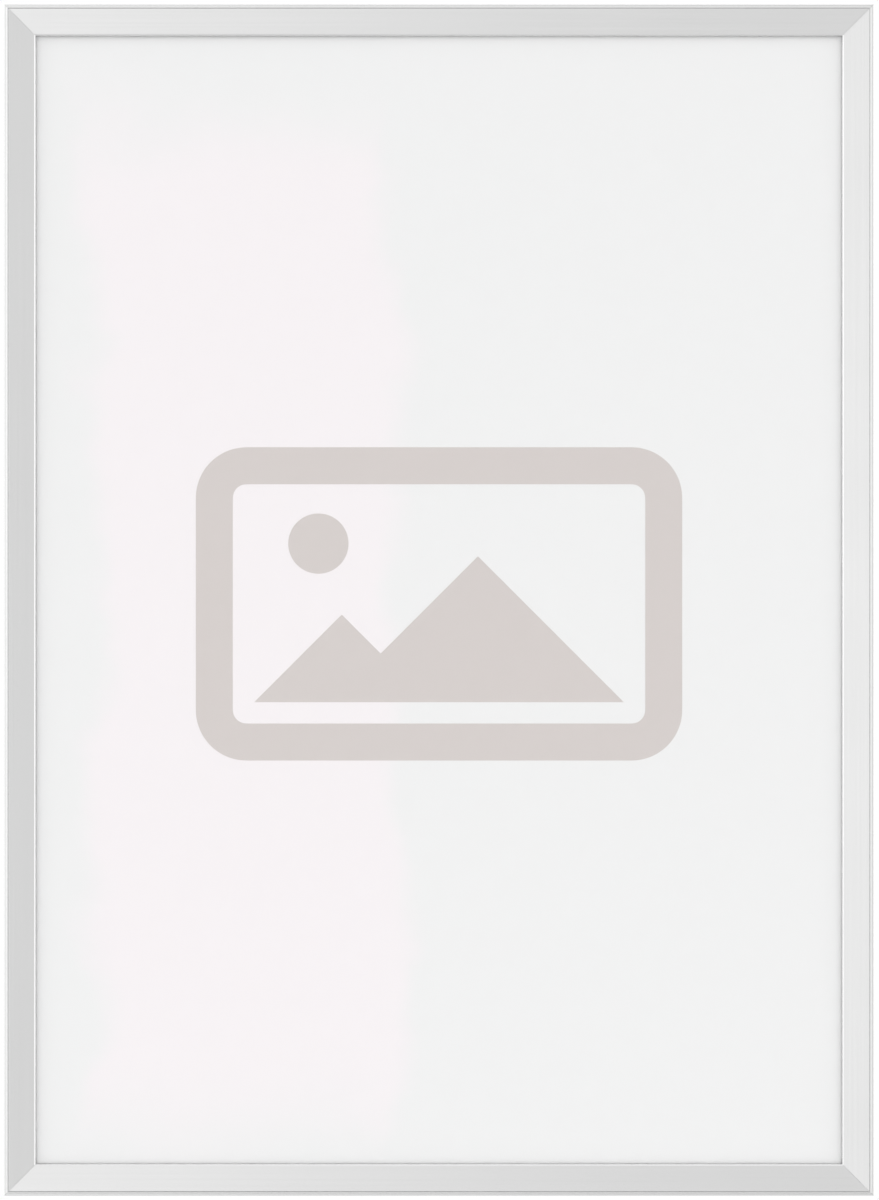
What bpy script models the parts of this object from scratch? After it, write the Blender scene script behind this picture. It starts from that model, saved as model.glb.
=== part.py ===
"""Wall poster frame whose four mitred front rails snap open on hinges along their outer edges.

Units are metres. +Z is up, the front faces -Y and the back lies on the plane Y = 0. The origin
is on the back of the upper base rail, midway along it, on the line of the wall screws.

Each side of the frame is drawn in its own section: "inset" is the distance in from the frame's
outer edge, and "height" the distance forward from the wall. The frame's outer size follows
from the sheet that it holds and from the section of its rails.
"""

import math

import bmesh
import bpy
from mathutils import Matrix, Vector

# Sheet that the frame holds, the panel behind it and the cover before it
SHEET_WIDTH = 0.841
SHEET_HEIGHT = 1.189
SHEET_THICKNESS = 0.0003
SHEET_SIDE_PLAY = 0.0095
PANEL_THICKNESS = 0.0025
COVER_THICKNESS = 0.0006
BAY_PLAY = 0.0007

# Base rail: the extrusion that is screwed to the wall
FLOOR = 0.0013
WALL = 0.0012
RIM_RADIUS = 0.0011
NECK = 0.0012
SPRING_TROUGH = 0.0036
CHANNEL_RIB = 0.0012
KEY_CHANNEL_WIDTH = 0.0090
KEY_CHANNEL_DEPTH = 0.0025
CHANNEL_FILLET = 0.0008
LIP = 0.0008
LIP_REACH = 0.0007
RIDGE = 0.0013
RIDGE_RISE = 0.0006
FLANGE_SETBACK = 0.0005

# Hinge: a bead along the top of the base rail's wall, and a hook round it on the snap rail
HINGE_DEPTH = 0.0020
BEAD_RADIUS = 0.0012
BEAD_PLAY = 0.0002
HOOK = 0.0010
HOOK_WALL_CLEARANCE = 0.0004
HOOK_MOUTH_ANGLE = math.radians(40)
HOOK_TIP_ANGLE = math.radians(-134)

# Snap rail: the extrusion that hinges over the sheet's edge
COVERED_EDGE = 0.0162
NOSE_DEPTH = 0.0042
NOSE_RADIUS = 0.0024
FACE_FALL = 0.0026
FACE_THICKNESS = 0.0012
FACE_CORNER_RADIUS = 0.0006
FACE_EDGE_CLEARANCE = 0.0001
FOOT_RADIUS = 0.0003
LEG = 0.0010
LEG_DROP = 0.0046
SEAT_REACH = 0.0012
SEAT = 0.0007

# Leaf springs between the base rail and the snap rail, placed along a rail from its middle
SPRING_THICKNESS = 0.0005
SPRING_WIDTH = 0.0240
SPRING_BOW = 0.0022
SPRING_SEAT_GAP = 0.0005
SHORT_RAIL_SPRING_SHARES = (-0.20, 0.20)
LONG_RAIL_SPRING_SHARES = (-0.27, 0.0, 0.27)

# Corner keys and their set screws
KEY_LEG = 0.0450
KEY_CHAMFER = 0.0015
SET_SCREW_RADIUS = 0.0020
SET_SCREW_LENGTH = 0.0034
SET_SCREW_SETBACK = 0.0130
SOCKET_RADIUS = 0.0011
SOCKET_DEPTH = 0.0018

# Holes for the wall screws in the floor of the base rails, placed as the springs are
WALL_SCREW_RADIUS = 0.00225
SHORT_RAIL_SCREW_SHARES = (-0.34, 0.34)
LONG_RAIL_SCREW_SHARES = (-0.37, 0.37)

# Gaps and cuts
GAP = 0.0003
BASE_MITRE = 0.00025
SNAP_MITRE = 0.0004
HOOK_RELIEF_CLEARANCE = 0.0008
OVERRUN = 0.0010

# Facets: segments in a full turn of the bead, hook and screws, and in each smaller arc
ROUND_SEGMENTS = 32
NOSE_SEGMENTS = 10
CORNER_SEGMENTS = 4
FOOT_SEGMENTS = 2
FILLET_SEGMENTS = 2
SPRING_SEGMENTS = 10
SOCKET_SEGMENTS = 6
SMOOTH_ANGLE = math.radians(35)

# Section of a side, from the outer edge inwards
HOOK_INSIDE = BEAD_RADIUS + BEAD_PLAY
HOOK_OUTSIDE = HOOK_INSIDE + HOOK
AXIS_INSET = WALL + HOOK_WALL_CLEARANCE - HOOK_OUTSIDE * math.cos(HOOK_TIP_ANGLE)
LEG_OUTER = AXIS_INSET - LEG / 2
LEG_INNER = AXIS_INSET + LEG / 2
CHANNEL_INSET = WALL + SPRING_TROUGH + CHANNEL_RIB
RIDGE_INSET = CHANNEL_INSET + KEY_CHANNEL_WIDTH
CHANNEL_CENTRE = RIDGE_INSET - KEY_CHANNEL_WIDTH / 2
BAY_INSET = RIDGE_INSET + RIDGE
SIGHT_INSET = BAY_INSET + COVERED_EDGE
FLANGE_REACH = SIGHT_INSET - FLANGE_SETBACK

# Section of a side, from the wall forward
LIP_UNDERSIDE = FLOOR + KEY_CHANNEL_DEPTH
LIP_TOP = LIP_UNDERSIDE + LIP
PANEL_BACK = FLOOR + GAP
SHEET_BACK = PANEL_BACK + PANEL_THICKNESS + GAP
COVER_BACK = SHEET_BACK + SHEET_THICKNESS + GAP
COVER_FRONT = COVER_BACK + COVER_THICKNESS
RIDGE_HEIGHT = COVER_FRONT + RIDGE_RISE
FOOT_HEIGHT = COVER_FRONT + GAP
NOSE_HEIGHT = FOOT_HEIGHT + NOSE_DEPTH
FACE_HEIGHT = NOSE_HEIGHT + FACE_FALL
AXIS_HEIGHT = FACE_HEIGHT - HINGE_DEPTH
UNDERSIDE = FACE_HEIGHT - FACE_THICKNESS
LEG_END = AXIS_HEIGHT - LEG_DROP
SEAT_TOP = LEG_END + SEAT

# Whole frame
FRAME_WIDTH = SHEET_WIDTH + 2 * (SHEET_SIDE_PLAY + BAY_INSET)
FRAME_HEIGHT = SHEET_HEIGHT + 2 * (BAY_PLAY + BAY_INSET)

# Each side: its length, the span across to the opposite side, how far it is turned from the
# bottom one in degrees about the Y axis, and what lies along it
SIDES = {
    "bottom": (FRAME_WIDTH, FRAME_HEIGHT, 0, SHORT_RAIL_SPRING_SHARES, SHORT_RAIL_SCREW_SHARES),
    "right": (FRAME_HEIGHT, FRAME_WIDTH, -90, LONG_RAIL_SPRING_SHARES, LONG_RAIL_SCREW_SHARES),
    "top": (FRAME_WIDTH, FRAME_HEIGHT, 180, SHORT_RAIL_SPRING_SHARES, SHORT_RAIL_SCREW_SHARES),
    "left": (FRAME_HEIGHT, FRAME_WIDTH, 90, LONG_RAIL_SPRING_SHARES, LONG_RAIL_SCREW_SHARES),
}
CORNERS = {
    "lower_right": (1, -1, 0),
    "upper_right": (1, 1, -90),
    "upper_left": (-1, 1, 180),
    "lower_left": (-1, -1, 90),
}


def clear_scene():
    for old in list(bpy.data.objects):
        bpy.data.objects.remove(old)


def material(name, colour, roughness, metallic, alpha=1.0):
    made = bpy.data.materials.new(name)
    made.use_nodes = True
    shader = made.node_tree.nodes["Principled BSDF"]
    shader.inputs["Base Color"].default_value = (*colour, 1.0)
    shader.inputs["Roughness"].default_value = roughness
    shader.inputs["Metallic"].default_value = metallic
    shader.inputs["Alpha"].default_value = alpha
    return made


def marker(name, place, turn, parent=None):
    """An empty that carries pieces, turned in degrees about Y."""
    empty = bpy.data.objects.new(name, None)
    bpy.context.scene.collection.objects.link(empty)
    empty.location = place
    empty.rotation_euler = (0, math.radians(turn), 0)
    empty.parent = parent
    return empty


def as_object(name, solid, finish, parent, place=(0, 0, 0)):
    """The bmesh as a named object, shaded smooth on its round stretches."""
    bmesh.ops.recalc_face_normals(solid, faces=solid.faces)
    mesh = bpy.data.meshes.new(name)
    solid.to_mesh(mesh)
    solid.free()
    mesh.shade_smooth()
    mesh.set_sharp_from_angle(angle=SMOOTH_ANGLE)
    if finish:
        mesh.materials.append(finish)
    piece = bpy.data.objects.new(name, mesh)
    bpy.context.scene.collection.objects.link(piece)
    piece.parent = parent
    piece.location = place
    return piece


def cut(piece, cutter):
    """Cuts one hidden solid out of a piece."""
    cutter.hide_render = True
    cutter.display_type = "WIRE"
    boolean = piece.modifiers.new(cutter.name, "BOOLEAN")
    boolean.operation = "DIFFERENCE"
    boolean.object = cutter


def extruded(outline, to_far_end):
    """A closed solid between an outline and the same outline as the matrix puts it."""
    solid = bmesh.new()
    near_face = solid.faces.new([solid.verts.new(point) for point in outline])
    grown = bmesh.ops.extrude_face_region(solid, geom=[near_face])
    far = [item for item in grown["geom"] if isinstance(item, bmesh.types.BMVert)]
    bmesh.ops.transform(solid, verts=far, matrix=to_far_end)
    return solid


def chamfer(solid, edges, size):
    bmesh.ops.bevel(
        solid, geom=edges, offset=size, segments=1, affect="EDGES", clamp_overlap=True, material=-1
    )


def block(low, high):
    """A plain block between two corners."""
    solid = bmesh.new()
    size = [b - a for a, b in zip(low, high)]
    middle = [(a + b) / 2 for a, b in zip(low, high)]
    placed = Matrix.Translation(middle) @ Matrix.Diagonal((*size, 1))
    bmesh.ops.create_cube(solid, size=1, matrix=placed)
    return solid


def rod(radius, back, front, segments=ROUND_SEGMENTS):
    """A round rod that points forward from the wall, from one height to another."""
    solid = bmesh.new()
    pointed_forward = Matrix.Rotation(math.pi / 2, 4, "X")
    bmesh.ops.create_cone(
        solid,
        cap_ends=True,
        segments=segments,
        radius1=radius,
        radius2=radius,
        depth=front - back,
        matrix=Matrix.Translation((0, -(back + front) / 2, 0)) @ pointed_forward,
    )
    return solid


def arc(centre, radius, start, end, segments):
    """Points along an arc, both ends included, from one angle to the other."""
    step = (end - start) / segments
    angles = [start + step * i for i in range(segments + 1)]
    return [(centre[0] + radius * math.cos(a), centre[1] + radius * math.sin(a)) for a in angles]


def round_arc(centre, radius, start, end):
    """An arc about the hinge's axis, as fine as the bead."""
    segments = max(2, round(abs(end - start) / math.tau * ROUND_SEGMENTS))
    return arc(centre, radius, start, end, segments)


def base_section():
    """Outline of the base rail as (inset, height) points, counter-clockwise from the outer corner."""
    neck_angle = math.asin(NECK / 2 / BEAD_RADIUS)
    neck_back = AXIS_HEIGHT - NECK / 2
    neck_front = AXIS_HEIGHT + NECK / 2
    flange = [(0, 0), (FLANGE_REACH, 0), (FLANGE_REACH, FLOOR), (BAY_INSET, FLOOR)]
    ridge = [(BAY_INSET, RIDGE_HEIGHT), (RIDGE_INSET, RIDGE_HEIGHT)]
    inner_lip = [
        (RIDGE_INSET, LIP_TOP),
        (RIDGE_INSET - LIP_REACH, LIP_TOP),
        (RIDGE_INSET - LIP_REACH, LIP_UNDERSIDE),
        (RIDGE_INSET, LIP_UNDERSIDE),
    ]
    quarter = math.pi / 2
    fillet_front = FLOOR + CHANNEL_FILLET
    inner_root = (RIDGE_INSET - CHANNEL_FILLET, fillet_front)
    outer_root = (CHANNEL_INSET + CHANNEL_FILLET, fillet_front)
    channel_floor = arc(inner_root, CHANNEL_FILLET, 0, -quarter, FILLET_SEGMENTS)
    channel_floor += arc(outer_root, CHANNEL_FILLET, -quarter, -math.pi, FILLET_SEGMENTS)
    outer_lip = [
        (CHANNEL_INSET, LIP_UNDERSIDE),
        (CHANNEL_INSET + LIP_REACH, LIP_UNDERSIDE),
        (CHANNEL_INSET + LIP_REACH, LIP_TOP),
        (CHANNEL_INSET - CHANNEL_RIB, LIP_TOP),
    ]
    trough = [(CHANNEL_INSET - CHANNEL_RIB, FLOOR), (WALL, FLOOR), (WALL, neck_back)]
    bead = round_arc(
        (AXIS_INSET, AXIS_HEIGHT), BEAD_RADIUS, neck_angle - math.pi, math.pi - neck_angle
    )
    rim_centre = (RIM_RADIUS, neck_front - RIM_RADIUS)
    rim = arc(rim_centre, RIM_RADIUS, quarter, math.pi, CORNER_SEGMENTS)
    return flange + ridge + inner_lip + channel_floor + outer_lip + trough + bead + rim


def snap_section():
    """Outline of the snap rail as (inset, height) points, clockwise from the hook's mouth."""
    axis = (AXIS_INSET, AXIS_HEIGHT)
    quarter = math.pi / 2
    face_inset = AXIS_INSET + HOOK_INSIDE * math.cos(HOOK_MOUTH_ANGLE) + FACE_EDGE_CLEARANCE
    corner_centre = (face_inset + FACE_CORNER_RADIUS, FACE_HEIGHT - FACE_CORNER_RADIUS)
    nose_centre = (SIGHT_INSET - NOSE_RADIUS, NOSE_HEIGHT - NOSE_RADIUS)
    foot_front = FOOT_HEIGHT + FOOT_RADIUS
    root_angle = math.asin((UNDERSIDE - AXIS_HEIGHT) / HOOK_OUTSIDE)
    leg_inner_angle = -math.acos((LEG_INNER - AXIS_INSET) / HOOK_OUTSIDE)
    leg_outer_angle = -math.acos((LEG_OUTER - AXIS_INSET) / HOOK_OUTSIDE)

    face_corner = arc(corner_centre, FACE_CORNER_RADIUS, math.pi, quarter, CORNER_SEGMENTS)
    nose = arc(nose_centre, NOSE_RADIUS, quarter, 0, NOSE_SEGMENTS)
    foot_inner = (SIGHT_INSET - FOOT_RADIUS, foot_front)
    foot_outer = (SIGHT_INSET - FACE_THICKNESS + FOOT_RADIUS, foot_front)
    foot = arc(foot_inner, FOOT_RADIUS, 0, -quarter, FOOT_SEGMENTS)
    foot += arc(foot_outer, FOOT_RADIUS, -quarter, -math.pi, FOOT_SEGMENTS)
    nose_back = arc(nose_centre, NOSE_RADIUS - FACE_THICKNESS, 0, quarter, NOSE_SEGMENTS)
    hook_back = round_arc(axis, HOOK_OUTSIDE, root_angle, leg_inner_angle)
    leg = [
        (LEG_INNER, SEAT_TOP),
        (LEG_INNER + SEAT_REACH, SEAT_TOP),
        (LEG_INNER + SEAT_REACH, LEG_END),
        (LEG_OUTER, LEG_END),
    ]
    hook_tip = round_arc(axis, HOOK_OUTSIDE, leg_outer_angle, HOOK_TIP_ANGLE)
    hook_front = round_arc(axis, HOOK_INSIDE, HOOK_TIP_ANGLE, HOOK_MOUTH_ANGLE)
    return face_corner + nose + foot + nose_back + hook_back + leg + hook_tip + hook_front


def mitred_rail(section, length, mitre, origin=(0, 0)):
    """A section extruded along X and sawn at 45 degrees at both ends.

    The rail's middle is at X = 0. Each point of an end lies back from the frame's corner by its
    own inset and the mitre's clearance. The origin is a point of the section.
    """
    near_end = [
        (inset + mitre - length / 2, origin[1] - height, inset - origin[0])
        for inset, height in section
    ]
    mirrored = Matrix.Diagonal((-1, 1, 1, 1))
    return extruded(near_end, mirrored)


def build_base_rail(side, length, screw_shares, parent, finish):
    rail = mitred_rail(base_section(), length, BASE_MITRE)
    rail = as_object(side + "_base_rail", rail, finish, parent)
    for number, share in enumerate(screw_shares):
        drill = rod(WALL_SCREW_RADIUS, -OVERRUN, FLOOR + OVERRUN)
        name = f"{side}_wall_screw_hole_{number + 1}"
        cut(rail, as_object(name, drill, None, parent, (share * length, 0, CHANNEL_CENTRE)))


def build_snap_rail(side, length, parent, finish):
    """The snap rail, on its hinge's axis.

    Its hook and leg stop short of the mitre, clear of the legs of the rails beside it as they
    swing.
    """
    rail = mitred_rail(snap_section(), length, SNAP_MITRE, (AXIS_INSET, AXIS_HEIGHT))
    place = (0, -AXIS_HEIGHT, AXIS_INSET)
    rail = as_object(side + "_snap_rail", rail, finish, parent, place)
    leg_sweep = math.hypot(LEG / 2 + SEAT_REACH, LEG_DROP)
    relief = AXIS_INSET + leg_sweep + HOOK_RELIEF_CLEARANCE
    relief_inset = AXIS_INSET + HOOK_OUTSIDE + SEAT_REACH
    face_slope = FACE_FALL / (SIGHT_INSET - NOSE_RADIUS - AXIS_INSET)
    relief_front = UNDERSIDE - face_slope * (relief_inset - AXIS_INSET)
    for end, side_of_middle in (("left", -1), ("right", 1)):
        reach = sorted(
            (side_of_middle * (length / 2 - relief), side_of_middle * (length / 2 + OVERRUN))
        )
        low = (reach[0], -relief_front, -OVERRUN)
        high = (reach[1], OVERRUN - LEG_END, relief_inset)
        cut(rail, as_object(f"{side}_{end}_hook_relief", block(low, high), None, parent))


def spring_outline():
    """The bow of a leaf, as (inset, height) points.

    It runs from the seat on the snap rail's leg to the corner of the base rail's ridge and lip.
    """
    start = Vector((LEG_INNER + SPRING_SEAT_GAP, SEAT_TOP + SPRING_SEAT_GAP))
    end = Vector((RIDGE_INSET - SPRING_SEAT_GAP, LIP_TOP + SPRING_SEAT_GAP))
    chord = end - start
    radius = (chord.length_squared / 4 + SPRING_BOW**2) / (2 * SPRING_BOW)
    half_turn = math.asin(chord.length / 2 / radius)
    forward = Vector((-chord.y, chord.x)).normalized()
    centre = (start + end) / 2 - (radius - SPRING_BOW) * forward
    middle = math.atan2(forward.y, forward.x)
    angles = (middle + half_turn, middle - half_turn)
    front = arc(centre, radius + SPRING_THICKNESS / 2, *angles, SPRING_SEGMENTS)
    back = arc(centre, radius - SPRING_THICKNESS / 2, *angles, SPRING_SEGMENTS)
    return front + back[::-1]


def build_springs(side, length, spring_shares, parent, finish):
    for number, share in enumerate(spring_shares):
        edge = [(-SPRING_WIDTH / 2, -height, inset) for inset, height in spring_outline()]
        leaf = extruded(edge, Matrix.Translation((SPRING_WIDTH, 0, 0)))
        as_object(f"{side}_spring_{number + 1}", leaf, finish, parent, (share * length, 0, 0))


def build_corner_key(corner, parent, key_finish, screw_finish):
    """An L-shaped plate in the channels of two base rails, with a set screw in each leg.

    Its back rim is chamfered by as much as the roots of the channels are filleted.
    """
    outer = CHANNEL_INSET + GAP
    inner = RIDGE_INSET - GAP
    back = FLOOR + GAP
    front = LIP_UNDERSIDE - GAP
    outline = [(outer, outer), (KEY_LEG, outer), (KEY_LEG, inner), (inner, inner)]
    outline += [(inner, KEY_LEG), (outer, KEY_LEG)]
    plate = extruded(
        [(-across, -back, up) for across, up in outline], Matrix.Translation((0, back - front, 0))
    )
    near_tip = KEY_LEG - KEY_CHAMFER
    tip_corners = [
        line
        for line in plate.edges
        if all(max(-end.co.x, end.co.z) > near_tip for end in line.verts)
        and line.verts[0].co.y != line.verts[1].co.y
    ]
    chamfer(plate, tip_corners, KEY_CHAMFER)
    near_back = -(back + front) / 2
    back_rim = [line for line in plate.edges if all(end.co.y > near_back for end in line.verts)]
    chamfer(plate, back_rim, CHANNEL_FILLET)
    key = as_object(corner + "_corner_key", plate, key_finish, parent)
    screw_front = back + SET_SCREW_LENGTH
    screw_place = KEY_LEG - SET_SCREW_SETBACK
    places = {
        "across": (-screw_place, 0, CHANNEL_CENTRE),
        "upright": (-CHANNEL_CENTRE, 0, screw_place),
    }
    for leg, place in places.items():
        bore = rod(SET_SCREW_RADIUS + GAP, back - OVERRUN, front + OVERRUN)
        cut(key, as_object(f"{corner}_{leg}_key_bore", bore, None, parent, place))
        shank = rod(SET_SCREW_RADIUS, back, screw_front)
        screw = as_object(f"{corner}_{leg}_set_screw", shank, screw_finish, parent, place)
        hexagon = rod(
            SOCKET_RADIUS, screw_front - SOCKET_DEPTH, screw_front + OVERRUN, SOCKET_SEGMENTS
        )
        cut(screw, as_object(f"{corner}_{leg}_hex_socket", hexagon, None, parent, place))


def build_sheet(name, width, height, back, thickness, parent, finish):
    """A flat sheet centred in the frame."""
    low = (-width / 2, -back - thickness, -height / 2)
    high = (width / 2, -back, height / 2)
    as_object(name, block(low, high), finish, parent)


def main():
    clear_scene()
    anodised = material("silver anodised aluminium", (0.70, 0.70, 0.70), 0.38, 1.0)
    key_steel = material("zinc plated steel", (0.55, 0.56, 0.58), 0.42, 1.0)
    screw_steel = material("blackened steel", (0.06, 0.06, 0.065), 0.50, 1.0)
    spring_steel = material("spring steel", (0.42, 0.43, 0.45), 0.30, 1.0)
    styrene = material("white polystyrene", (0.80, 0.80, 0.79), 0.60, 0.0)
    paper = material("printed paper", (0.88, 0.88, 0.87), 0.80, 0.0)
    clear = material("clear polyester", (0.95, 0.95, 0.95), 0.25, 0.0, 0.25)

    frame_centre = marker("frame_centre", (0, 0, CHANNEL_CENTRE - FRAME_HEIGHT / 2), 0)
    for side, (length, span, turn, spring_shares, screw_shares) in SIDES.items():
        outward = Matrix.Rotation(math.radians(turn), 3, "Y") @ Vector((0, 0, -span / 2))
        edge = marker(side + "_edge", outward, turn, frame_centre)
        build_base_rail(side, length, screw_shares, edge, anodised)
        build_snap_rail(side, length, edge, anodised)
        build_springs(side, length, spring_shares, edge, spring_steel)
    for corner, (across, up, turn) in CORNERS.items():
        place = (across * FRAME_WIDTH / 2, 0, up * FRAME_HEIGHT / 2)
        edge = marker(corner + "_corner", place, turn, frame_centre)
        build_corner_key(corner, edge, key_steel, screw_steel)

    bay = (
        FRAME_WIDTH - 2 * (BAY_INSET + BAY_PLAY),
        FRAME_HEIGHT - 2 * (BAY_INSET + BAY_PLAY),
    )
    sheet = (SHEET_WIDTH, SHEET_HEIGHT)
    build_sheet("backing_panel", *bay, PANEL_BACK, PANEL_THICKNESS, frame_centre, styrene)
    build_sheet("poster_sheet", *sheet, SHEET_BACK, SHEET_THICKNESS, frame_centre, paper)
    build_sheet("clear_cover", *bay, COVER_BACK, COVER_THICKNESS, frame_centre, clear)


main()
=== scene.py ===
"""Looks of the wall poster frame.

Each piece gets its finish, the mitres are closed, fine edges are softened and the sheet gets its
print. A studio with soft light, a pale floor and a camera straight in front completes the scene.
"""

import math

import bmesh
import bpy
from mathutils import Matrix, Vector


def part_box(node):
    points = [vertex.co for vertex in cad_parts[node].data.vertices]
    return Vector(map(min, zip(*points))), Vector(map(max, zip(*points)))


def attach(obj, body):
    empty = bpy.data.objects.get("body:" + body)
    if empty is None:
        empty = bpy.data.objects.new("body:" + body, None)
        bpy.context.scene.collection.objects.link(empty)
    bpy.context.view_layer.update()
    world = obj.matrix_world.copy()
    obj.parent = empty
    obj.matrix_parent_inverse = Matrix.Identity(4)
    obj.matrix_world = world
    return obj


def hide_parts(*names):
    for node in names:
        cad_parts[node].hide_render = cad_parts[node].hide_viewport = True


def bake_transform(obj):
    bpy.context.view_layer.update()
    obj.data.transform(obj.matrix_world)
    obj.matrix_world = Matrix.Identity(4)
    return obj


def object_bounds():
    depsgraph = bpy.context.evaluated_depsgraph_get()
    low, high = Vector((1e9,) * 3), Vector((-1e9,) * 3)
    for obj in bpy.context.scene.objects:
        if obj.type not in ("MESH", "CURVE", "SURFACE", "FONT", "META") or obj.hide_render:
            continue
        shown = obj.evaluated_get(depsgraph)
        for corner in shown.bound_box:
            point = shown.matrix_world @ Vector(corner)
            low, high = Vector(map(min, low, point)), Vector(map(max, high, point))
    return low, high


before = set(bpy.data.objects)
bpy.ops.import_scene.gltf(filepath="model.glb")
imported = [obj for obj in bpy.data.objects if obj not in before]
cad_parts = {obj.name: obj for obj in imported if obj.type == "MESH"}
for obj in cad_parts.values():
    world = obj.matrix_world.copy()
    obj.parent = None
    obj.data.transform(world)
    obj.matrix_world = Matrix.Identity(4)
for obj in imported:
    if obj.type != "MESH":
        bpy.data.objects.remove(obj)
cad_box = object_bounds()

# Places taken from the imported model, in metres: +Z is up and the front faces -Y
FRAME_LOW, FRAME_HIGH = Vector(cad_box[0]), Vector(cad_box[1])
MIDDLE = (FRAME_LOW + FRAME_HIGH) / 2
HALF_WIDTH = (FRAME_HIGH.x - FRAME_LOW.x) / 2
HALF_HEIGHT = (FRAME_HIGH.z - FRAME_LOW.z) / 2
SHEET_LOW, SHEET_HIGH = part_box("poster_sheet")

# Each side: how far it is turned from the bottom one about the Y axis, half its length, and
# half the span across to the opposite side
SIDES = {
    "bottom": (0, HALF_WIDTH, HALF_HEIGHT),
    "right": (-90, HALF_HEIGHT, HALF_WIDTH),
    "top": (180, HALF_WIDTH, HALF_HEIGHT),
    "left": (90, HALF_HEIGHT, HALF_WIDTH),
}

# Mitres, measured along the rail: how far a sawn end stops short of the mitre's plane, and how
# near to that plane a point has to be to belong to the sawn end
MITRE_HAIRLINE = 0.00006
MITRE_REACH = 0.0006

# The saw's burr comes off the edges that lie this far in front of the frame's middle. A face is
# told by its normal: a sawn one points more along the rail than this, and a front one this much
# to the front
MITRE_EDGE = 0.00012
RIM_FORWARD = 0.0030
ALONG_RAIL = 0.5
TO_FRONT = 0.4

# Edges of the small parts. A leaf spring's lines shorter than LEAF_THROUGH run through its
# thickness, at its corners
LEAF_THROUGH = 0.0009
SPRING_CORNER = 0.0009
SPRING_EDGE = 0.00012
KEY_EDGE = 0.0002
SCREW_EDGE = 0.00015
EDGE_SEGMENTS = 2
CORNER_SEGMENTS = 4

# Meshes: points as near as MERGE are one point, faces that bend less than FLAT_ANGLE are one
# face, and what bends more than SHARP_ANGLE is an edge
MERGE = 0.000005
FLAT_ANGLE = math.radians(0.5)
SHARP_ANGLE = math.radians(35)
QUAD = 4
ROUND_SEGMENTS = 64
QUARTER_SEGMENTS = ROUND_SEGMENTS // 4

# Print on the sheet: a plain picture sign in one pale ink, placed from the sheet's middle
INK_THICKNESS = 0.0001
PRINT_WIDTH = 0.500
PRINT_HEIGHT = 0.322
PRINT_RISE = -0.004
PRINT_LINE = 0.038
PRINT_CORNER = 0.052
SUN_RADIUS = 0.031
SUN_PLACE = (-0.124, 0.062)
PEAKS = (
    (-0.190, -0.101),
    (-0.060, -0.101),
    (0.190, -0.101),
    (0.040, 0.049),
    (-0.060, -0.051),
    (-0.100, -0.011),
)

# Patterns of the finishes, in waves to the metre. Die lines, etch, fibres, ink and crystals are
# coarser than the real ones, so that they show
DIE_LINES_ALONG = 3.0  # 330 mm long
DIE_LINES_ACROSS = 500.0  # 2 mm apart
OXIDE_DRIFT = 9.0  # 110 mm
ETCH_GRIT = 1800.0  # 0.6 mm
PAPER_FIBRE = 900.0  # 1.1 mm
INK_GRAIN = 1100.0  # 0.9 mm
FILM_RIPPLE = 9.0  # 110 mm
ROLLER_PEBBLE = 700.0  # 1.4 mm
PLASTIC_CLOUD = 5.0  # 200 mm

# Depths of their relief
ETCH_DEPTH = 0.00001
FIBRE_DEPTH = 0.00003
RIPPLE_DEPTH = 0.0006
PEBBLE_DEPTH = 0.00005
CRYSTAL_DEPTH = 0.00004

# The part of a noise's range that holds most of its values, and that a finish spreads over its
# two tones
NOISE_SPAN = {"From Min": 0.3, "From Max": 0.7}
INK_NOISE_SPAN = {"From Min": 0.25, "From Max": 0.75}

# Gloss of the coated paper and of the ink on it, refraction of the two plastics, and how opaque
# the film looks
COATED_SPECULAR = 0.35
POLYESTER_IOR = 1.57
POLYSTYRENE_IOR = 1.59
FILM_ALPHA = 0.07

# Each treated steel: its darker and lighter tone, its middle roughness, and its crystals to the
# metre, 1.1 to 2 mm wide
STEELS = {
    "zinc_plated_steel": ("#A9ACB0", "#C3C6C9", 0.39, 500.0),
    "black_oxide_steel": ("#24262A", "#34363A", 0.45, 900.0),
    "tempered_spring_steel": ("#8C9097", "#A2A6AD", 0.28, 700.0),
}
STEEL_ROUGHNESS_SPREAD = 0.07

# Where warm light is painted on the paper: the patch's corners, the width of the band in which
# its edge wanders, and the waves that this makes to the metre. The painted light fades between
# two distances from the patch's middle, 1 being its edge
PAINTED_WARM_LIGHT_LOW = (-0.368, 0.0, -1.145)
PAINTED_WARM_LIGHT_HIGH = (-0.040, 0.0, -0.098)
PAINTED_WARM_LIGHT_RAGGED = 0.14
PAINTED_WARM_LIGHT_WAVES = 7.0
PAINTED_WARM_LIGHT_FADE = {"From Min": 0.85, "From Max": 1.1}

# Camera: straight on, as far away as leaves the sides of the frame unseen
PHOTO_WIDTH, PHOTO_HEIGHT = 879, 1200
METRES_PER_PIXEL = 0.001026
FRAME_IN_PHOTO = (439.0, 600.0)
CAMERA_DISTANCE = 4.2
CAMERA_REACH = 100
SENSOR = 36.0

# Studio. Each light: the direction that it comes from (degrees to the right of straight in
# front, degrees up), the angle over which it spreads, and its strength, 1 being white
LIGHTS = {
    "front_left_light": (-18.5, 0, 34, 0.47),
    "left_light": (-64, 8, 50, 1.00),
    "right_light": (58, 8, 56, 0.85),
    "top_light": (-6, 60, 56, 0.50),
    "back_light": (160, 25, 60, 0.80),
}
LIGHT_DISTANCE = 5.0
AMBIENT = 0.735

# The floor is so small that its rim hides next to none of the low lights from the frame, and it
# glows a little to the eye, to be as white as what lies behind it
FLOOR_DROP = 0.80
FLOOR_RADIUS = 2.5
FLOOR_LIFT = 0.18

# The colour sockets of a Mix node share their names with its other ones, so they go by number
MIX_A, MIX_B, MIX_RESULT = 6, 7, 2


def linear(hex_colour):
    """An sRGB hex colour as linear RGBA."""
    channels = [int(hex_colour[i : i + 2], 16) / 255 for i in (1, 3, 5)]
    light = [c / 12.92 if c <= 0.04045 else ((c + 0.055) / 1.055) ** 2.4 for c in channels]
    return (*light, 1.0)


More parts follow.
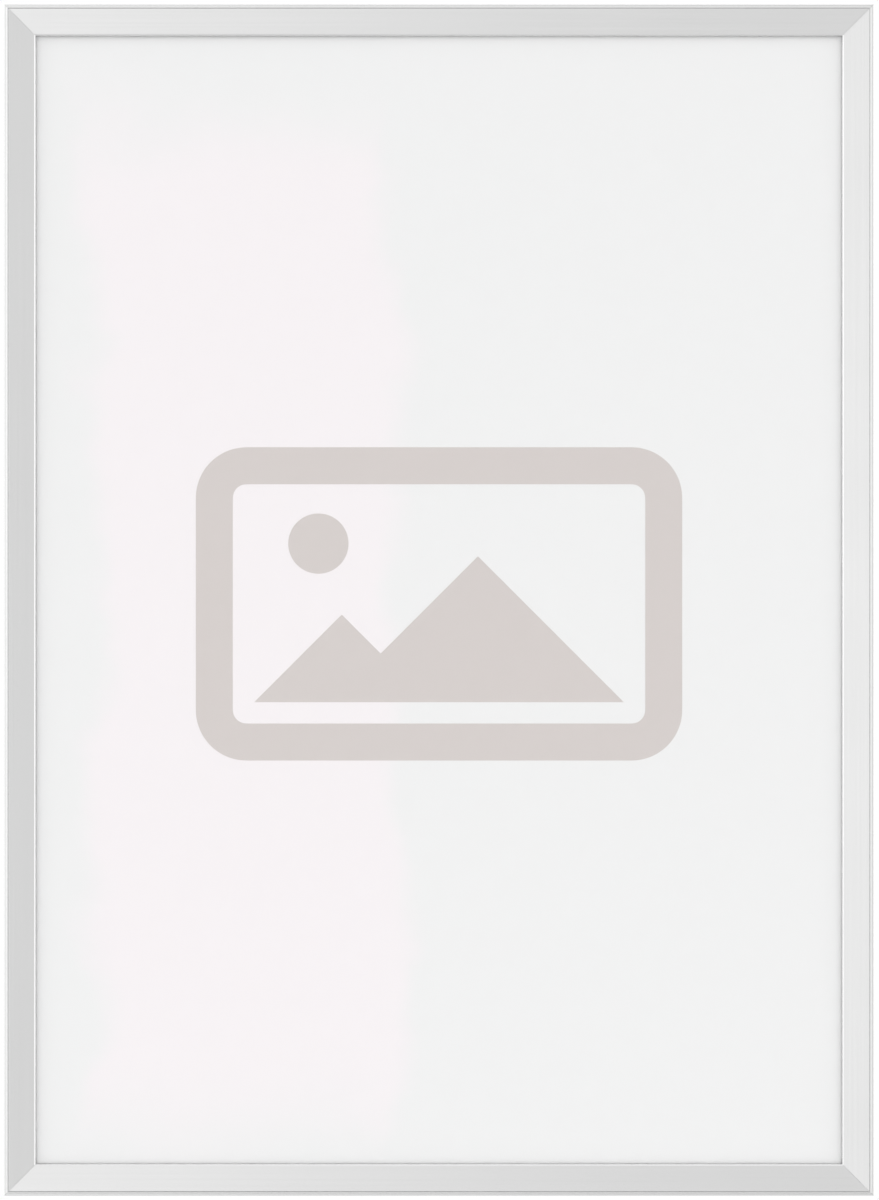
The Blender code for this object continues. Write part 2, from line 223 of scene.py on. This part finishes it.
def new_material(name):
    """A material with no nodes yet, and its node tree."""
    made = bpy.data.materials.new(name)
    made.use_nodes = True
    made.node_tree.nodes.clear()
    return made, made.node_tree


def add(tree, kind, sockets=None, **settings):
    """A node with its settings, and its sockets given values or linked to other nodes' outputs."""
    made = tree.nodes.new("ShaderNode" + kind)
    for name, value in settings.items():
        setattr(made, name, value)
    for name, value in (sockets or {}).items():
        if isinstance(value, bpy.types.NodeSocket):
            tree.links.new(value, made.inputs[name])
        else:
            made.inputs[name].default_value = value
    return made


def anodised_aluminium(name, along):
    """Extruded aluminium, etched in caustic soda and clear anodised.

    The etch leaves a satin face with a broad, soft reflection and hardly any lines. The die's
    faint lines run along the extrusion, and the oxide's thickness drifts a little over a hand's
    width, which changes the gloss.
    """
    made, tree = new_material(name)
    place = add(tree, "TexCoord").outputs["Object"]
    across = tuple(DIE_LINES_ALONG if axis == along else DIE_LINES_ACROSS for axis in "XYZ")
    drawn = add(tree, "Mapping", {"Vector": place, "Scale": across})
    die_lines = add(
        tree, "TexNoise", {"Vector": drawn.outputs["Vector"], "Scale": 1.0, "Detail": 2.0}
    )
    oxide = add(tree, "TexNoise", {"Vector": place, "Scale": OXIDE_DRIFT, "Detail": 2.0})
    etch = add(tree, "TexNoise", {"Vector": place, "Scale": ETCH_GRIT, "Detail": 1.0})
    lines = add(tree, "MapRange", {"Value": die_lines.outputs["Fac"], **NOISE_SPAN})
    tone = add(
        tree,
        "Mix",
        {
            "Factor": lines.outputs["Result"],
            MIX_A: linear("#CFCFCF"),
            MIX_B: linear("#D1D1D1"),
        },
        data_type="RGBA",
    )
    roughness = add(
        tree,
        "MapRange",
        {"Value": oxide.outputs["Fac"], **NOISE_SPAN, "To Min": 0.24, "To Max": 0.27},
    )
    grit = add(
        tree, "Bump", {"Height": etch.outputs["Fac"], "Distance": ETCH_DEPTH, "Strength": 0.2}
    )
    metal = add(
        tree,
        "BsdfPrincipled",
        {
            "Base Color": tone.outputs[MIX_RESULT],
            "Metallic": 1.0,
            "Roughness": roughness.outputs["Result"],
            "Normal": grit.outputs["Normal"],
        },
    )
    add(tree, "OutputMaterial", {"Surface": metal.outputs["BSDF"]})
    return made


def coated_paper():
    """Coated poster paper: near white and matt, with a tooth from its fibres.

    It has a painted warm light over a ragged patch in its left half.
    """
    made, tree = new_material("coated_poster_paper")
    place = add(tree, "TexCoord").outputs["Object"]
    fibre = add(tree, "TexNoise", {"Vector": place, "Scale": PAPER_FIBRE, "Detail": 3.0})
    ragged = add(tree, "TexNoise", {"Vector": place, "Scale": PAINTED_WARM_LIGHT_WAVES, "Detail": 4.0})
    wandering = add(
        tree,
        "VectorMath",
        {0: ragged.outputs["Color"], 1: (PAINTED_WARM_LIGHT_RAGGED,) * 3, 2: place},
        operation="MULTIPLY_ADD",
    )
    # The patch is centred and scaled to run from -1 to 1 both ways
    low, high = Vector(PAINTED_WARM_LIGHT_LOW), Vector(PAINTED_WARM_LIGHT_HIGH)
    centred = add(
        tree,
        "Mapping",
        {
            "Vector": wandering.outputs["Vector"],
            "Location": (low + high) / 2 + Vector((PAINTED_WARM_LIGHT_RAGGED / 2,) * 3),
            "Scale": ((high.x - low.x) / 2, 1.0, (high.z - low.z) / 2),
        },
        vector_type="TEXTURE",
    )
    off_centre = add(tree, "VectorMath", {0: centred.outputs["Vector"]}, operation="ABSOLUTE")
    ways = add(tree, "SeparateXYZ", {"Vector": off_centre.outputs["Vector"]})
    outermost = add(
        tree, "Math", {0: ways.outputs["X"], 1: ways.outputs["Z"]}, operation="MAXIMUM"
    )
    # The painted warm light: 1 over the patch, fading to 0 beyond its ragged edge
    painted_warm_light = add(
        tree,
        "MapRange",
        {"Value": outermost.outputs["Value"], **PAINTED_WARM_LIGHT_FADE, "To Min": 1.0, "To Max": 0.0},
        interpolation_type="SMOOTHSTEP",
    )
    # Paper white, tinted warm where the warm light is painted
    tone = add(
        tree,
        "Mix",
        {
            "Factor": painted_warm_light.outputs["Result"],
            MIX_A: linear("#F2F2F2"),
            MIX_B: linear("#F8F3F5"),
        },
        data_type="RGBA",
    )
    roughness = add(
        tree,
        "MapRange",
        {"Value": fibre.outputs["Fac"], **NOISE_SPAN, "To Min": 0.52, "To Max": 0.62},
    )
    tooth = add(
        tree, "Bump", {"Height": fibre.outputs["Fac"], "Distance": FIBRE_DEPTH, "Strength": 0.2}
    )
    paper = add(
        tree,
        "BsdfPrincipled",
        {
            "Base Color": tone.outputs[MIX_RESULT],
            "Roughness": roughness.outputs["Result"],
            "Specular IOR Level": COATED_SPECULAR,
            "Normal": tooth.outputs["Normal"],
        },
    )
    add(tree, "OutputMaterial", {"Surface": paper.outputs["BSDF"]})
    return made


def offset_ink():
    """Pale warm grey offset ink, a little smoother than the paper it lies on."""
    made, tree = new_material("pale_offset_ink")
    place = add(tree, "TexCoord").outputs["Object"]
    grain = add(tree, "TexNoise", {"Vector": place, "Scale": INK_GRAIN, "Detail": 2.0})
    evened = add(tree, "MapRange", {"Value": grain.outputs["Fac"], **INK_NOISE_SPAN})
    tone = add(
        tree,
        "Mix",
        {
            "Factor": evened.outputs["Result"],
            MIX_A: linear("#D2CAC7"),
            MIX_B: linear("#D5CDCA"),
        },
        data_type="RGBA",
    )
    roughness = add(
        tree, "MapRange", {"Value": grain.outputs["Fac"], "To Min": 0.42, "To Max": 0.52}
    )
    ink = add(
        tree,
        "BsdfPrincipled",
        {
            "Base Color": tone.outputs[MIX_RESULT],
            "Roughness": roughness.outputs["Result"],
            "Specular IOR Level": COATED_SPECULAR,
        },
    )
    add(tree, "OutputMaterial", {"Surface": ink.outputs["BSDF"]})
    return made


def clear_polyester():
    """Clear anti-glare polyester film: it shows only as a faint gloss over the sheet."""
    made, tree = new_material("clear_polyester_film")
    place = add(tree, "TexCoord").outputs["Object"]
    ripple = add(tree, "TexNoise", {"Vector": place, "Scale": FILM_RIPPLE, "Detail": 2.0})
    roughness = add(
        tree, "MapRange", {"Value": ripple.outputs["Fac"], "To Min": 0.15, "To Max": 0.22}
    )
    waves = add(
        tree, "Bump", {"Height": ripple.outputs["Fac"], "Distance": RIPPLE_DEPTH, "Strength": 0.3}
    )
    film = add(
        tree,
        "BsdfPrincipled",
        {
            "Base Color": linear("#F4F5F5"),
            "Roughness": roughness.outputs["Result"],
            "IOR": POLYESTER_IOR,
            "Alpha": FILM_ALPHA,
            "Normal": waves.outputs["Normal"],
        },
    )
    add(tree, "OutputMaterial", {"Surface": film.outputs["BSDF"]})
    return made


def polystyrene():
    """Extruded polystyrene sheet: milky white and matt, with the fine texture of its rollers."""
    made, tree = new_material("white_polystyrene")
    place = add(tree, "TexCoord").outputs["Object"]
    roller = add(tree, "TexNoise", {"Vector": place, "Scale": ROLLER_PEBBLE, "Detail": 2.0})
    cloud = add(tree, "TexNoise", {"Vector": place, "Scale": PLASTIC_CLOUD, "Detail": 2.0})
    milk = add(tree, "MapRange", {"Value": cloud.outputs["Fac"], **NOISE_SPAN})
    tone = add(
        tree,
        "Mix",
        {
            "Factor": milk.outputs["Result"],
            MIX_A: linear("#F0F0EE"),
            MIX_B: linear("#F5F5F3"),
        },
        data_type="RGBA",
    )
    roughness = add(
        tree, "MapRange", {"Value": roller.outputs["Fac"], "To Min": 0.48, "To Max": 0.66}
    )
    pebble = add(
        tree,
        "Bump",
        {"Height": roller.outputs["Fac"], "Distance": PEBBLE_DEPTH, "Strength": 0.35},
    )
    plastic = add(
        tree,
        "BsdfPrincipled",
        {
            "Base Color": tone.outputs[MIX_RESULT],
            "Roughness": roughness.outputs["Result"],
            "IOR": POLYSTYRENE_IOR,
            "Normal": pebble.outputs["Normal"],
        },
    )
    add(tree, "OutputMaterial", {"Surface": plastic.outputs["BSDF"]})
    return made


def treated_steel(name):
    """Steel whose surface layer has fine crystals that vary its colour and its gloss.

    Zinc plating is bluish grey and soft, black oxide is nearly black, and rolled and tempered
    spring steel is a darker, shinier grey.
    """
    dark, light, middle_roughness, crystals_per_metre = STEELS[name]
    made, tree = new_material(name)
    place = add(tree, "TexCoord").outputs["Object"]
    crystals = add(
        tree, "TexNoise", {"Vector": place, "Scale": crystals_per_metre, "Detail": 3.0}
    )
    evened = add(tree, "MapRange", {"Value": crystals.outputs["Fac"], **NOISE_SPAN})
    tone = add(
        tree,
        "Mix",
        {"Factor": evened.outputs["Result"], MIX_A: linear(dark), MIX_B: linear(light)},
        data_type="RGBA",
    )
    roughness = add(
        tree,
        "MapRange",
        {
            "Value": crystals.outputs["Fac"],
            "To Min": middle_roughness - STEEL_ROUGHNESS_SPREAD,
            "To Max": middle_roughness + STEEL_ROUGHNESS_SPREAD,
        },
    )
    bloom = add(
        tree,
        "Bump",
        {"Height": crystals.outputs["Fac"], "Distance": CRYSTAL_DEPTH, "Strength": 0.3},
    )
    metal = add(
        tree,
        "BsdfPrincipled",
        {
            "Base Color": tone.outputs[MIX_RESULT],
            "Metallic": 1.0,
            "Roughness": roughness.outputs["Result"],
            "Normal": bloom.outputs["Normal"],
        },
    )
    add(tree, "OutputMaterial", {"Surface": metal.outputs["BSDF"]})
    return made


def as_piece(name, solid, finish):
    """A bmesh as an object at the origin, smooth over its round parts only."""
    for face in solid.faces:
        face.smooth = True
    for line in solid.edges:
        line.smooth = line.calc_face_angle(math.pi) < SHARP_ANGLE
    mesh = bpy.data.meshes.new(name)
    solid.to_mesh(mesh)
    solid.free()
    mesh.materials.append(finish)
    piece = bpy.data.objects.new(name, mesh)
    bpy.context.scene.collection.objects.link(piece)
    return piece


def merged_copy(node):
    """A copy of a CAD node's mesh with its loose triangles joined."""
    solid = bmesh.new()
    solid.from_mesh(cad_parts[node].data)
    bmesh.ops.remove_doubles(solid, verts=solid.verts, dist=MERGE)
    return solid


def join_flat_faces(solid):
    bmesh.ops.dissolve_limit(
        solid, angle_limit=FLAT_ANGLE, verts=solid.verts, edges=solid.edges, delimit=set()
    )


def sharp_lines(solid):
    return [line for line in solid.edges if line.calc_face_angle(0) > SHARP_ANGLE]


def round_lines(solid, lines, size, segments=EDGE_SEGMENTS):
    bmesh.ops.bevel(
        solid,
        geom=lines,
        offset=size,
        segments=segments,
        affect="EDGES",
        profile=0.5,
        clamp_overlap=True,
        material=-1,
    )


def stand_in(node, suffix, solid, finish, body):
    """A finer piece that rides on a body and stands for a CAD node."""
    piece = as_piece(node + suffix, solid, finish)
    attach(piece, body)
    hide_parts(node)
    return piece


def end_gap(place, side):
    """How far along a laid-down rail one of its points is from the nearer mitre's plane."""
    _, half_length, half_span = SIDES[side]
    return half_length - half_span - place.z - abs(place.x)


def close_mitres(solid, side):
    """Bring the sawn ends of a laid-down rail to a hairline from the mitres, as one face each.

    The points of these ends are returned.
    """
    for point in solid.verts:
        gap = end_gap(point.co, side)
        if gap < MITRE_REACH:
            point.co.x += math.copysign(gap - MITRE_HAIRLINE, point.co.x)
    solid.normal_update()
    sawn = {point for point in solid.verts if end_gap(point.co, side) < MITRE_REACH}
    cuts = [
        face
        for face in solid.faces
        if sawn.issuperset(face.verts) and abs(face.normal.x) > ALONG_RAIL
    ]
    bmesh.ops.dissolve_faces(solid, faces=cuts)
    return sawn


def front_rim(solid, sawn):
    """The lines round the sawn ends at the front, where the rail's faces meet the cut."""
    rim = []
    for line in solid.edges:
        if not sawn.issuperset(line.verts) or max(end.co.y for end in line.verts) > -RIM_FORWARD:
            continue
        beside = min(line.link_faces, key=lambda face: abs(face.normal.x))
        if abs(beside.normal.x) < ALONG_RAIL and beside.normal.y < -TO_FRONT:
            rim.append(line)
    return rim


def build_rail(node, side, finish, body):
    """A rail whose sawn ends meet its neighbours' at a hairline, with the saw's burr taken off.

    The solids stand 0.35 to 0.6 mm apart there, which shows as a dark line. For the work, the
    rail is laid down as the bottom one, around the frame's middle.
    """
    solid = merged_copy(node)
    turn = math.radians(-SIDES[side][0])
    laid_down = Matrix.Rotation(turn, 4, "Y") @ Matrix.Translation(-MIDDLE)
    bmesh.ops.transform(solid, matrix=laid_down, verts=solid.verts)
    sawn = close_mitres(solid, side)
    join_flat_faces(solid)
    solid.normal_update()
    round_lines(solid, front_rim(solid, sawn), MITRE_EDGE)
    bmesh.ops.dissolve_degenerate(solid, dist=MERGE, edges=solid.edges)
    bmesh.ops.transform(solid, matrix=laid_down.inverted(), verts=solid.verts)
    many_sided = [face for face in solid.faces if len(face.verts) > QUAD]
    bmesh.ops.triangulate(solid, faces=many_sided, ngon_method="BEAUTY")
    piece = stand_in(node, "_extrusion", solid, finish, body)
    weighted = piece.modifiers.new("even_face_shading", "WEIGHTED_NORMAL")
    weighted.keep_sharp = True


def build_spring(node, side, finish):
    """A bowed leaf with round corners and edges."""
    solid = merged_copy(node)
    join_flat_faces(solid)
    corners = [line for line in sharp_lines(solid) if line.calc_length() < LEAF_THROUGH]
    round_lines(solid, corners, SPRING_CORNER, CORNER_SEGMENTS)
    round_lines(solid, sharp_lines(solid), SPRING_EDGE)
    piece = as_piece(node + "_leaf", solid, finish)
    low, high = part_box(node)
    across = "z" if side in ("bottom", "top") else "x"
    inner, outer = low.copy(), low.copy()
    setattr(inner if side in ("bottom", "left") else outer, across, getattr(high, across))
    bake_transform(piece)
    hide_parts(node)


def build_fitting(node, edge, finish):
    """A corner key or a set screw with its edges rounded, as tumbling leaves them."""
    solid = merged_copy(node)
    join_flat_faces(solid)
    round_lines(solid, sharp_lines(solid), edge)
    piece = stand_in(node, "_rounded", solid, finish, "base_frame")


def build_print(finish):
    """A picture sign in ink that stands on the sheet: a rounded border, the sun and two peaks."""
    middle = (SHEET_LOW + SHEET_HIGH) / 2
    upright = Matrix.Translation((middle.x, SHEET_LOW.y, middle.z + PRINT_RISE))
    upright = upright @ Matrix.Rotation(math.pi / 2, 4, "X")
    solid = bmesh.new()
    half = Matrix.Diagonal((PRINT_WIDTH / 2, PRINT_HEIGHT / 2, 1, 1))
    bmesh.ops.create_grid(solid, x_segments=1, y_segments=1, size=1, matrix=half)
    bmesh.ops.bevel(
        solid,
        geom=solid.verts[:],
        offset=PRINT_CORNER,
        segments=QUARTER_SEGMENTS,
        affect="VERTICES",
        profile=0.5,
        material=-1,
    )
    inner = solid.faces[:]
    bmesh.ops.inset_region(
        solid, faces=inner, thickness=PRINT_LINE, use_even_offset=True, use_boundary=True
    )
    bmesh.ops.delete(solid, geom=inner, context="FACES_ONLY")
    sun = Matrix.Translation((*SUN_PLACE, 0))
    bmesh.ops.create_circle(
        solid, cap_ends=True, segments=ROUND_SEGMENTS, radius=SUN_RADIUS, matrix=sun
    )
    solid.faces.new([solid.verts.new((*point, 0)) for point in PEAKS])
    bmesh.ops.transform(solid, matrix=upright, verts=solid.verts)
    grown = bmesh.ops.extrude_face_region(solid, geom=solid.faces[:])
    front = [item for item in grown["geom"] if isinstance(item, bmesh.types.BMVert)]
    bmesh.ops.translate(solid, verts=front, vec=(0, -INK_THICKNESS, 0))
    bmesh.ops.recalc_face_normals(solid, faces=solid.faces)
    piece = as_piece("poster_print", solid, finish)
    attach(piece, "base_frame")


def dress(node, finish):
    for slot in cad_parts[node].material_slots:
        slot.material = finish


def aim(thing, place, target):
    thing.location = place
    thing.rotation_euler = (Vector(target) - Vector(place)).to_track_quat("-Z", "Y").to_euler()


def build_light(name, right, up, spread, strength):
    """A wide soft light so far away that it falls alike on the whole frame.

    Its strength is how bright its face looks, 1 being a white surface in full light. Its place
    tells only where it comes from.
    """
    light = bpy.data.lights.new(name, "SUN")
    light.angle = math.radians(spread)
    light.energy = strength * math.pi * math.sin(light.angle / 2) ** 2
    thing = bpy.data.objects.new(name, light)
    bpy.context.scene.collection.objects.link(thing)
    right, up = math.radians(right), math.radians(up)
    level = math.cos(up)
    direction = Vector((math.sin(right) * level, -math.cos(right) * level, math.sin(up)))
    aim(thing, MIDDLE + LIGHT_DISTANCE * direction, MIDDLE)


def background_share(tree):
    """1 where a ray from the eye, or one off metal or through glass, meets what lies behind."""
    path = add(tree, "LightPath")
    either = add(
        tree,
        "Math",
        {0: path.outputs["Is Camera Ray"], 1: path.outputs["Is Glossy Ray"]},
        operation="MAXIMUM",
    )
    share = add(
        tree,
        "Math",
        {0: either.outputs["Value"], 1: path.outputs["Is Transmission Ray"]},
        operation="MAXIMUM",
    )
    return share.outputs["Value"]


def build_world():
    """White to the eye and in reflections, and a pale even light on everything else."""
    world = bpy.data.worlds.new("studio")
    world.use_nodes = True
    tree = world.node_tree
    tree.nodes.clear()
    level = add(
        tree, "MapRange", {"Value": background_share(tree), "To Min": AMBIENT, "To Max": 1.0}
    )
    sky = add(
        tree, "Background", {"Color": linear("#FFFFFF"), "Strength": level.outputs["Result"]}
    )
    add(tree, "OutputWorld", {"Surface": sky.outputs["Background"]})
    bpy.context.scene.world = world


def build_floor():
    """A pale floor below the hanging frame. It keeps the frame's shadow."""
    made, tree = new_material("pale_floor")
    matt = add(tree, "BsdfDiffuse", {"Color": linear("#EDEDED")})
    lift = add(tree, "Math", {0: background_share(tree), 1: FLOOR_LIFT}, operation="MULTIPLY")
    glow = add(tree, "Emission", {"Color": linear("#FFFFFF"), "Strength": lift.outputs["Value"]})
    both = add(tree, "AddShader", {0: matt.outputs["BSDF"], 1: glow.outputs["Emission"]})
    add(tree, "OutputMaterial", {"Surface": both.outputs["Shader"]})
    disc = bmesh.new()
    below = Matrix.Translation((0, 0, FRAME_LOW.z - FLOOR_DROP))
    bmesh.ops.create_circle(
        disc, cap_ends=True, segments=ROUND_SEGMENTS, radius=FLOOR_RADIUS, matrix=below
    )
    as_piece("floor", disc, made)


def build_camera():
    data = bpy.data.cameras.new("camera")
    data.sensor_width = SENSOR
    data.lens = SENSOR * CAMERA_DISTANCE / (PHOTO_HEIGHT * METRES_PER_PIXEL)
    data.clip_end = CAMERA_REACH
    camera = bpy.data.objects.new("camera", data)
    bpy.context.scene.collection.objects.link(camera)
    across = (PHOTO_WIDTH / 2 - FRAME_IN_PHOTO[0]) * METRES_PER_PIXEL
    up = (FRAME_IN_PHOTO[1] - PHOTO_HEIGHT / 2) * METRES_PER_PIXEL
    place = (MIDDLE.x + across, FRAME_LOW.y - CAMERA_DISTANCE, MIDDLE.z + up)
    aim(camera, place, (place[0], 0, place[2]))
    bpy.context.scene.camera = camera


def main():
    drawn_across = anodised_aluminium("anodised_aluminium_drawn_across", "X")
    drawn_upright = anodised_aluminium("anodised_aluminium_drawn_upright", "Z")
    zinc = treated_steel("zinc_plated_steel")
    black_oxide = treated_steel("black_oxide_steel")
    spring_steel = treated_steel("tempered_spring_steel")
    for side in SIDES:
        drawn = drawn_across if side in ("bottom", "top") else drawn_upright
        build_rail(side + "_base_rail", side, drawn, "base_frame")
        build_rail(side + "_snap_rail", side, drawn, side + "_rail")
    for node in sorted(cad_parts):
        if "_spring_" in node:
            build_spring(node, node.split("_")[0], spring_steel)
        elif node.endswith("corner_key"):
            build_fitting(node, KEY_EDGE, zinc)
        elif node.endswith("set_screw"):
            build_fitting(node, SCREW_EDGE, black_oxide)
    dress("backing_panel", polystyrene())
    dress("poster_sheet", coated_paper())
    dress("clear_cover", clear_polyester())
    build_print(offset_ink())

    build_world()
    for name, light in LIGHTS.items():
        build_light(name, *light)
    build_floor()
    build_camera()
    bpy.context.scene.view_settings.view_transform = "Standard"


main()
